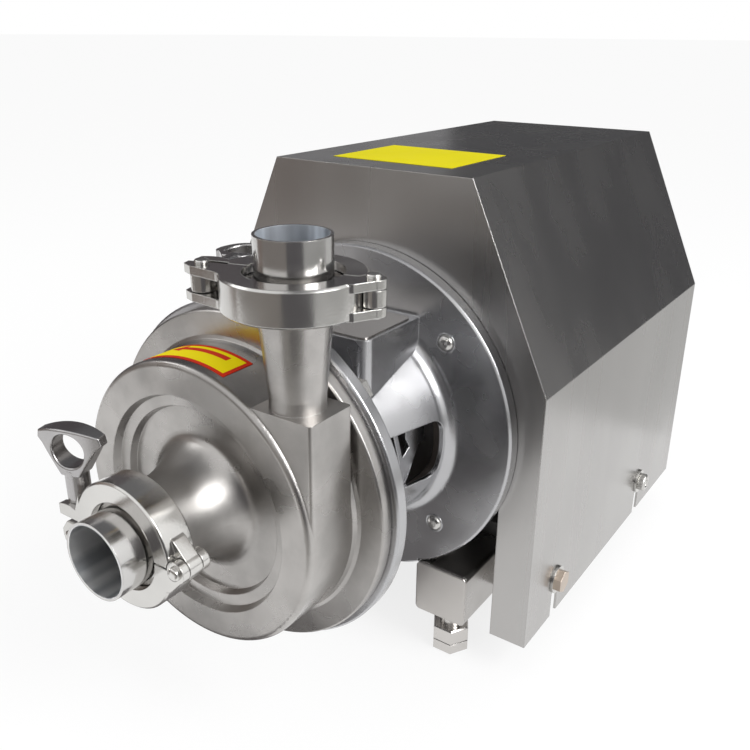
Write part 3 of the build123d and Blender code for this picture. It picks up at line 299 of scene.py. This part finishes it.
finishes = {
    "casing_steel": steel("casing_satin", (0.45, 0.435, 0.42), 0.30, cloud=0.13, patch=34.0, spread=0.08,
                          grain=1700.0, grain_depth=0.0001, edge=0.0007),
    # The inlet's bore colour, lighter than its steel, is part of the painted reflection
    "port_steel": port("inlet_polish", (0, 0, AXIS_HEIGHT), "Y", INLET_BORE, (0.88, 0.91, 0.95)),
    "clamp_steel": steel("clamp_polish", (0.64, 0.63, 0.61), 0.20, cloud=0.12, spread=0.06),
    "lantern_steel": lantern_casting(),
    "plate_steel": steel("pad_plate_polish", (0.42, 0.40, 0.38), 0.16, edge=0.0003),
    "shroud_steel": steel("shroud_brushed", (0.45, 0.44, 0.43), 0.27, cloud=0.04, spread=0.02,
                          grain_depth=0.0, stretch=(1, 1, 0.04), edge=0.0008),
    "frame_steel": steel("rail_steel", (0.43, 0.415, 0.40), 0.30, edge=0.0010),
    "cap_steel": steel("cap_satin", (0.51, 0.49, 0.47), 0.36, edge=0.0012),
    "bolt_steel": steel("bolt_steel", (0.58, 0.57, 0.55), 0.24, edge=0.0004),
    "side_bolt_steel": steel("aged_bolt_steel", (0.54, 0.46, 0.39), 0.32, cloud=0.16, edge=0.0004),
    "foot_steel": steel("foot_steel", (0.60, 0.58, 0.56), 0.24),
    "shaft_steel": steel("shaft_steel", (0.60, 0.59, 0.58), 0.22, edge=0.0003),
    "bearing_steel": steel("bearing_steel", (0.62, 0.62, 0.62), 0.18, edge=0.0003),
    "core_steel": plain("core_laminations", (0.20, 0.17, 0.15), 0.5, metallic=0.6),
    "motor_aluminium": plain("cast_aluminium", (0.42, 0.42, 0.42), 0.45, metallic=1.0, edge=0.001),
    "cowl_paint": plain("cowl_paint", (0.10, 0.11, 0.12), 0.42),
    "fan_plastic": plain("fan_plastic", (0.02, 0.02, 0.02), 0.5),
    "gland_plastic": plain("gland_plastic", (0.02, 0.02, 0.02), 0.45),
    "seal_carbon": plain("seal_carbon", (0.02, 0.02, 0.022), 0.35),
    "seal_ceramic": plain("seal_ceramic", (0.75, 0.73, 0.70), 0.25),
    "gasket_rubber": plain("gasket_rubber", (0.80, 0.79, 0.76), 0.55),
    "o_ring_rubber": plain("o_ring_rubber", (0.02, 0.02, 0.02), 0.6),
    # Painted shade: the roof label's yellow is darkened against the direction sticker's, two lit and shaded
    # copies of one yellow
    "roof_sticker": plain("yellow_sticker_painted_shade", (0.60, 0.53, 0.001), 0.55, cloud=0.03, shine=0.05),
    "arrow_sticker": plain("red_sticker", (0.66, 0.03, 0.006), 0.55, cloud=0.03, shine=0.12),
}
# Painted light: the direction sticker's yellow is made lighter to make up for the shade it lies in on the
# drum
direction_yellow_painted_light = plain("direction_yellow_painted_light", (0.95, 0.78, 0.002), 0.55, cloud=0.03, shine=0.05)
outlet_middle = (OUTLET_OFFSET / 1000, OUTLET_DEPTH / 1000 + PANEL_FRONT, 0)
# The outlet's bore colour, lighter than its steel, is part of the painted reflection
outlet_finish = port("outlet_polish", outlet_middle, "Z", OUTLET_BORE, (0.78, 0.82, 0.88))
wing_finish = steel("wing_nut_satin", (0.47, 0.46, 0.46), 0.26, cloud=0.10)
own_finish = {
    "outlet_ferrule": outlet_finish,
    "inlet_wing_nut": wing_finish,
    "outlet_wing_nut": wing_finish,
}
slot_of = {entry["node"]: entry["material_slot"] for entry in frame["record"]["subparts"]}
for name, cad in nodes.items():
    material = own_finish.get(name, finishes[slot_of[name]])
    if not cad.material_slots:
        cad.data.materials.append(material)
    for place in cad.material_slots:
        place.material = material


# New pieces: closed meshes worked out with numpy, in the drawing's millimetres
def closed_mesh(name, rings, material, body, smooth=True):
    """Surface through rings of equal length, given as an array (rings, points, 3).

    Faces run round each ring and from ring to ring, and one face closes each end.
    """
    count, around = rings.shape[:2]
    index = np.arange(count * around).reshape(count, around)
    here = index[:-1]
    ahead = index[1:]
    quads = np.stack([here, np.roll(here, -1, 1), np.roll(ahead, -1, 1), ahead], -1).reshape(-1, 4)
    faces = quads.tolist() + [index[0][::-1].tolist(), index[-1].tolist()]
    points = rings.reshape(-1, 3) / 1000 + DRAWING_ORIGIN
    mesh = bpy.data.meshes.new(name)
    mesh.from_pydata(points.tolist(), [], faces)
    mesh.polygons.foreach_set("use_smooth", np.full(len(faces), smooth))
    mesh.materials.append(material)
    piece = bpy.data.objects.new(name, mesh)
    bpy.context.scene.collection.objects.link(piece)
    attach(piece, body)
    return piece


# Direction sticker: angles in degrees about the shaft, layers from the red label's outer face outwards
STICKER_RADIUS = 75.0
STICKER_LOW, STICKER_HIGH = 73.3, 115.4
STICKER_FRONT, STICKER_REAR = -142.0, -122.0
STICKER_BORDER = 2.2
FIELD_LAYER = (-0.01, 0.03)
FIELD_STEPS = 49
ARROW_START, ARROW_NECK, ARROW_TIP = 80.5, 103.0, 110.5
ARROW_MIDDLE = -128.6
ARROW_HALF, HEAD_HALF, TIP_HALF = 1.8, 4.0, 0.02
ARROW_LAYER = (0.02, 0.05)
ARROW_STEPS, HEAD_STEPS = 30, 10
HEAD_GAP = 0.01


def drum_strip(name, degrees, front, rear, layer, material):
    """Thin strip bent round the casing's drum, between y = front(t) and rear(t) at each angle t.

    A point is (r cos t, y, r sin t) about the shaft's axis, and r goes over the layer.
    """
    t = np.radians(degrees)[:, None]
    inner, outer = layer
    radius = STICKER_RADIUS + np.array([[inner, outer, outer, inner]])
    y = np.stack([front, front, rear, rear], 1)
    rings = np.stack([radius * np.cos(t), y, radius * np.sin(t)], -1)
    return closed_mesh(name, rings, material, "pump", smooth=False)


border_angle = math.degrees(STICKER_BORDER / STICKER_RADIUS)
field_angles = np.linspace(STICKER_LOW + border_angle, STICKER_HIGH - border_angle, FIELD_STEPS)
field_front = np.full(FIELD_STEPS, STICKER_FRONT + STICKER_BORDER)
field_rear = np.full(FIELD_STEPS, STICKER_REAR - STICKER_BORDER)
drum_strip("sticker_field", field_angles, field_front, field_rear, FIELD_LAYER,
           direction_yellow_painted_light)
tail_angles = np.linspace(ARROW_START, ARROW_NECK, ARROW_STEPS)
head_angles = np.linspace(ARROW_NECK + HEAD_GAP, ARROW_TIP, HEAD_STEPS)
head_half = HEAD_HALF * (ARROW_TIP - head_angles) / (ARROW_TIP - ARROW_NECK) + TIP_HALF
arrow_angles = np.concatenate([tail_angles, head_angles])
arrow_half = np.concatenate([np.full(ARROW_STEPS, ARROW_HALF), head_half])
drum_strip("sticker_arrow", arrow_angles, ARROW_MIDDLE - arrow_half, ARROW_MIDDLE + arrow_half, ARROW_LAYER,
           finishes["arrow_sticker"])


def turned(name, profile, steps, centre, along, across, slot):
    """Closed piece from a profile of (radius, reach) carried round the line through centre along a direction.

    A point at angle t is centre + reach along + radius (cos t across + sin t (along x across)).
    A radius is a number, or a function of t where the section isn't round.
    """
    t = np.linspace(0, 2 * np.pi, steps, endpoint=False)[:, None]
    turn = np.cos(t) * np.array(across) + np.sin(t) * np.cross(along, across)
    rings = []
    for radius, reach in profile:
        size = radius(t) if callable(radius) else radius
        rings.append(np.array(centre) + reach * np.array(along) + size * turn)
    return closed_mesh(name, np.array(rings), finishes[slot], "pump")


# Rear side bolts
CAP_RADIUS, CAP_HEIGHT, CAP_SEAT = 6.4, 5.3, 119.7
CAP_SOCKET, CAP_SOCKET_DEPTH = 3.0, 3.2
CAP_KNURL, CAP_KNURLS, CAP_STEPS = 0.14, 48, 288
SIDE_BOLT_HEIGHT = -105.0
REAR_BOLT = 197.0


def knurled(share):
    """Radius of the knurled band, CAP_RADIUS + share CAP_KNURL cos(CAP_KNURLS t)."""
    return lambda t: CAP_RADIUS + share * CAP_KNURL * np.cos(CAP_KNURLS * t)


def hexagon(margin, share=1.0):
    """Radius of a hexagon about the socket's, share CAP_SOCKET / cos(t mod 60 - 30 degrees) + margin."""
    return lambda t: share * CAP_SOCKET / np.cos(t % (np.pi / 3) - np.pi / 6) + margin


def knurled_cap(name, y, side):
    """Socket cap head with a knurled band and a hexagon socket, turned about a line along X."""
    socket_floor = CAP_HEIGHT - CAP_SOCKET_DEPTH
    profile = [
        (4.0, 0.0), (CAP_RADIUS * 0.96, 0.0), (knurled(0.4), 0.35), (knurled(1.0), 0.8),
        (knurled(1.0), 3.6), (knurled(0.4), 4.1), (CAP_RADIUS - 0.55, 4.75), (CAP_RADIUS - 1.2, CAP_HEIGHT),
        (hexagon(0.35), CAP_HEIGHT), (hexagon(0.0), CAP_HEIGHT - 0.3),
        (hexagon(0.0), socket_floor), (hexagon(0.0, 0.05), socket_floor - 0.4),
    ]
    centre = (side * CAP_SEAT, y, SIDE_BOLT_HEIGHT)
    return turned(name, profile, CAP_STEPS, centre, (side, 0, 0), (0, 1, 0), "bolt_steel")


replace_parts(knurled_cap("knurled_cap_right", REAR_BOLT, 1), "shroud_cap_bolts")
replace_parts(knurled_cap("knurled_cap_left", REAR_BOLT, -1), "shroud_cap_bolts")

# Rims round the lantern's bolts, and rounded ends on the clamps' pins
BOLT_CIRCLE = 82.5
BOLT_START, BOLT_COUNT = 43.6, 4
RIM_STEPS = 72
RIM_PROFILE = [(5.0, -9.05), (5.1, -9.4), (5.35, -9.55), (5.65, -9.5), (5.9, -9.3), (6.1, -8.8)]
for number in range(BOLT_COUNT):
    angle = math.radians(BOLT_START + 360 / BOLT_COUNT * number)
    bolt_place = (BOLT_CIRCLE * math.cos(angle), 0, BOLT_CIRCLE * math.sin(angle))
    turned("lantern_bolt_rim_%d" % (number + 1), RIM_PROFILE, RIM_STEPS, bolt_place, (0, 1, 0), (1, 0, 0),
           "lantern_steel")

HINGE_PIN = (35.0, 0.0)
INLET_EYE_PIN = (-37.5, -8.5)
OUTLET_EYE_PIN = (-41.0, -3.6)
OUTLET_CLAMP_TURN = math.radians(16.5)
OUTLET_PIN_TOP, INLET_PIN_FRONT = 125.5, -191.9
DOME_STEPS = 48
DOME_PROFILE = [(3.2, -0.3), (3.28, 0.1), (3.1, 0.55), (2.6, 0.95), (1.8, 1.25), (0.9, 1.4), (0.2, 1.43)]


def outlet_dome(name, pin):
    """Rounded top of an outlet clamp's pin, from the pin's place in the clamp."""
    x = pin[0] * math.cos(OUTLET_CLAMP_TURN) - pin[1] * math.sin(OUTLET_CLAMP_TURN)
    y = pin[0] * math.sin(OUTLET_CLAMP_TURN) + pin[1] * math.cos(OUTLET_CLAMP_TURN)
    centre = (OUTLET_OFFSET + x, OUTLET_DEPTH + y, OUTLET_PIN_TOP)
    turned(name, DOME_PROFILE, DOME_STEPS, centre, (0, 0, 1), (1, 0, 0), "clamp_steel")


def inlet_dome(name, pin):
    """Rounded front of an inlet clamp's pin, from the pin's place in the clamp."""
    centre = (pin[0], INLET_PIN_FRONT, pin[1])
    turned(name, DOME_PROFILE, DOME_STEPS, centre, (0, -1, 0), (1, 0, 0), "clamp_steel")


outlet_dome("outlet_hinge_dome", HINGE_PIN)
outlet_dome("outlet_eye_dome", OUTLET_EYE_PIN)
inlet_dome("inlet_hinge_dome", HINGE_PIN)
inlet_dome("inlet_eye_dome", INLET_EYE_PIN)


# Camera: the photograph's own place, turn and lens
def look(azimuth, elevation, roll):
    """Camera's right, up and back directions from its turn round the object, in degrees."""
    a, e, r = (math.radians(value) for value in (azimuth, elevation, roll))
    back = np.array([math.sin(a) * math.cos(e), -math.cos(a) * math.cos(e), math.sin(e)])
    right = np.array([math.cos(a), math.sin(a), 0.0])
    up = np.cross(back, right)
    return math.cos(r) * right + math.sin(r) * up, math.cos(r) * up - math.sin(r) * right, back


def placed(right, up, back, place):
    """World matrix of an object whose X, Y and Z point right, up and back."""
    rows = np.vstack([np.column_stack([right, up, back, place]), [0, 0, 0, 1]])
    return Matrix(rows.tolist())


SHROUD_HALF_WIDTH = 0.118
CAMERA_PLACE = np.array([2.343524, -3.293645, 1.829684]) * SHROUD_HALF_WIDTH + DRAWING_ORIGIN
CAMERA_TURN = (34.7833, 22.4296, 0.4144)
PIXELS = 750
LENS_PIXELS = 838.0
CENTRE_PIXELS = (375.73, 377.35)
SENSOR_WIDTH = 36.0
camera_data = bpy.data.cameras.new("camera")
camera_data.sensor_width = SENSOR_WIDTH
camera_data.lens = LENS_PIXELS / PIXELS * SENSOR_WIDTH
camera_data.shift_x = (PIXELS / 2 - CENTRE_PIXELS[0]) / PIXELS
camera_data.shift_y = (CENTRE_PIXELS[1] - PIXELS / 2) / PIXELS
camera_data.clip_start = 0.01
camera = bpy.data.objects.new("camera", camera_data)
bpy.context.scene.collection.objects.link(camera)
camera.matrix_world = placed(*look(*CAMERA_TURN), CAMERA_PLACE)
bpy.context.scene.camera = camera

# Studio: pale floor, plain world, soft lamps and grey cards that only reflections see
FLOOR_HALF = 60
FLOOR_GREY = 0.86
FLOOR_GLOW = 0.80
WORLD_LIGHT = 0.9


def glow(tree, colour):
    """An even light of a colour."""
    node = tree.nodes.new("ShaderNodeEmission")
    node.inputs["Color"].default_value = (*colour, 1)
    return node.outputs["Emission"]


def flat_mesh(name, corners, material):
    """One four-sided sheet from its corners."""
    mesh = bpy.data.meshes.new(name)
    mesh.from_pydata(corners, [], [(0, 1, 2, 3)])
    mesh.materials.append(material)
    sheet = bpy.data.objects.new(name, mesh)
    bpy.context.scene.collection.objects.link(sheet)
    return sheet


def seen_background(tree):
    """1 for rays from the camera, a reflection or a refraction, 0 for diffuse light."""
    path = tree.nodes.new("ShaderNodeLightPath").outputs
    direct = worked_out(tree, "MAXIMUM", path["Is Camera Ray"], path["Is Glossy Ray"])
    return worked_out(tree, "MAXIMUM", direct, path["Is Transmission Ray"])


def floor_material():
    """Pale diffuse floor that also looks white to the camera and in reflections, and keeps a soft shadow."""
    material, tree, surface = empty_material("studio_floor")
    diffuse = tree.nodes.new("ShaderNodeBsdfDiffuse")
    diffuse.inputs["Color"].default_value = (FLOOR_GREY, FLOOR_GREY, FLOOR_GREY, 1)
    mix = tree.nodes.new("ShaderNodeMixShader")
    tree.links.new(worked_out(tree, "MULTIPLY", seen_background(tree), FLOOR_GLOW), mix.inputs["Fac"])
    tree.links.new(diffuse.outputs["BSDF"], mix.inputs[1])
    tree.links.new(glow(tree, (1, 1, 1)), mix.inputs[2])
    tree.links.new(mix.outputs["Shader"], surface)
    return material


def world():
    """Even light on the object, a little brighter where the camera or a reflection sees the background."""
    sky = bpy.data.worlds.new("studio")
    tree = emptied(sky)
    output = tree.nodes.new("ShaderNodeOutputWorld")
    background = tree.nodes.new("ShaderNodeBackground")
    level = tree.nodes.new("ShaderNodeMapRange")
    level.inputs["To Min"].default_value = WORLD_LIGHT
    level.inputs["To Max"].default_value = 1.0
    tree.links.new(seen_background(tree), level.inputs["Value"])
    tree.links.new(level.outputs["Result"], background.inputs["Color"])
    tree.links.new(background.outputs["Background"], output.inputs["Surface"])
    bpy.context.scene.world = sky


def card(name, corners, colour):
    """A plain card that reflections see and the camera doesn't."""
    material, tree, surface = empty_material(name)
    tree.links.new(glow(tree, colour), surface)
    sheet = flat_mesh(name, corners, material)
    sheet.visible_camera = False
    sheet.visible_diffuse = False
    sheet.visible_shadow = False


def standing_card(name, start, end, height, colour, base=0.005):
    """A card that stands upright between two places."""
    card(name, [(*start, base), (*end, base), (*end, height), (*start, height)], colour)


def lying_card(name, low, high, height, colour):
    """A level card from one corner to the other."""
    (left, front), (right, rear) = low, high
    corners = [(left, front), (right, front), (right, rear), (left, rear)]
    card(name, [(x, y, height) for x, y in corners], colour)


floor_corners = [(x * FLOOR_HALF, y * FLOOR_HALF, 0) for x, y in ((-1, -1), (1, -1), (1, 1), (-1, 1))]
flat_mesh("floor", floor_corners, floor_material())
world()
standing_card("back_card", (-0.78, 1.4), (1.3, 1.4), 1.25, (0.085, 0.085, 0.09))
standing_card("back_left_card", (-1.35, 1.25), (-0.78, 1.4), 0.62, (0.40, 0.40, 0.41))
standing_card("high_back_left_card", (-1.35, 1.25), (-0.78, 1.4), 1.25, (0.09, 0.085, 0.09), base=0.62)
standing_card("left_card", (-1.35, -0.4), (-1.35, 1.25), 1.3, (0.11, 0.10, 0.105))
standing_card("front_left_card", (-1.35, -0.4), (-0.5, -0.58), 0.8, (0.25, 0.21, 0.19))
standing_card("front_card", (-0.5, -0.58), (0.2, -0.54), 0.30, (0.25, 0.23, 0.215), base=0.09)
standing_card("camera_card", (0.2, -0.54), (0.62, -0.40), 0.48, (0.12, 0.115, 0.12))
lying_card("ceiling_card", (-1.35, -0.5), (0.5, 1.4), 1.3, (0.16, 0.16, 0.165))
lying_card("right_floor_card", (0.75, -1.5), (2.5, 1.0), 0.004, (0.40, 0.40, 0.39))
lying_card("rear_floor_card", (0.16, 0.35), (0.75, 1.4), 0.004, (0.68, 0.68, 0.67))
lying_card("front_floor_card", (0.0, -0.75), (0.6, -0.36), 0.004, (0.42, 0.41, 0.39))
# Painted shadow: a dark card on the floor under the pump, seen only in reflections, stands in for the pump's
# shadow there
lying_card("painted_shadow_card", (-0.13, -0.26), (0.02, 0.25), 0.002, (0.20, 0.19, 0.19))


def unit(vector):
    """The vector at length 1."""
    return vector / np.linalg.norm(vector)


def lamp(name, place, target, size, power):
    """A soft square lamp that faces its target."""
    data = bpy.data.lights.new(name, "AREA")
    data.shape = "SQUARE"
    data.size = size
    data.energy = power
    light = bpy.data.objects.new(name, data)
    bpy.context.scene.collection.objects.link(light)
    away = unit(np.array(place) - np.array(target))
    side = unit(np.cross((0, 0, 1), away))
    light.matrix_world = placed(side, np.cross(away, side), away, place)


lamp("key_lamp", (1.3, -0.12, 1.1), (0, -0.1, 0.15), 0.9, 22)
lamp("fill_lamp", (-1.3, -0.6, 1.2), (0, 0, 0.15), 0.8, 3.5)

bpy.context.scene.view_settings.view_transform = "Standard"
